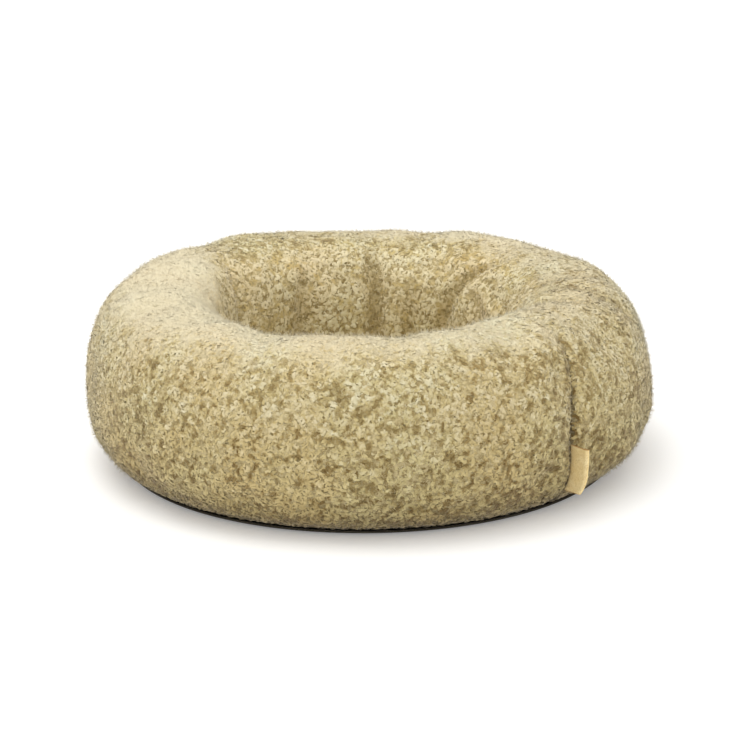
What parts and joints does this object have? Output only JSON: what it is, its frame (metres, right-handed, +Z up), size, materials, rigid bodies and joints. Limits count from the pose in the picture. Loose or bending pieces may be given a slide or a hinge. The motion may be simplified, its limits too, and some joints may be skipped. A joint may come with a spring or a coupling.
{
  "type": "round plush dog bed",
  "caption": "Round plush dog bed with a thick filled ring wall around a sunken cushioned floor, a flat base and a small folded tab in the closing seam.",
  "frame": {"origin": "centre of the bounding box at the height of the surface the bed rests on", "axes": "+Z up out of the hollow, -Y towards the viewer of the picture, +X to the picture's right"},
  "size_m": [0.4985, 0.5004, 0.1654],
  "materials": {
    "ring_plush": "curly beige pile with olive-brown flecks",
    "floor_plush": "curly beige pile with olive-brown flecks, pressed flatter",
    "base_cloth": "dense dark weave",
    "tab_leather": "smooth tan leather, bare"
  },
  "bodies": {
    "root": {"bolster": "ring_plush", "floor_cushion": "floor_plush", "base_panel": "base_cloth", "label_tab": "tab_leather"}
  },
  "joints": []
}
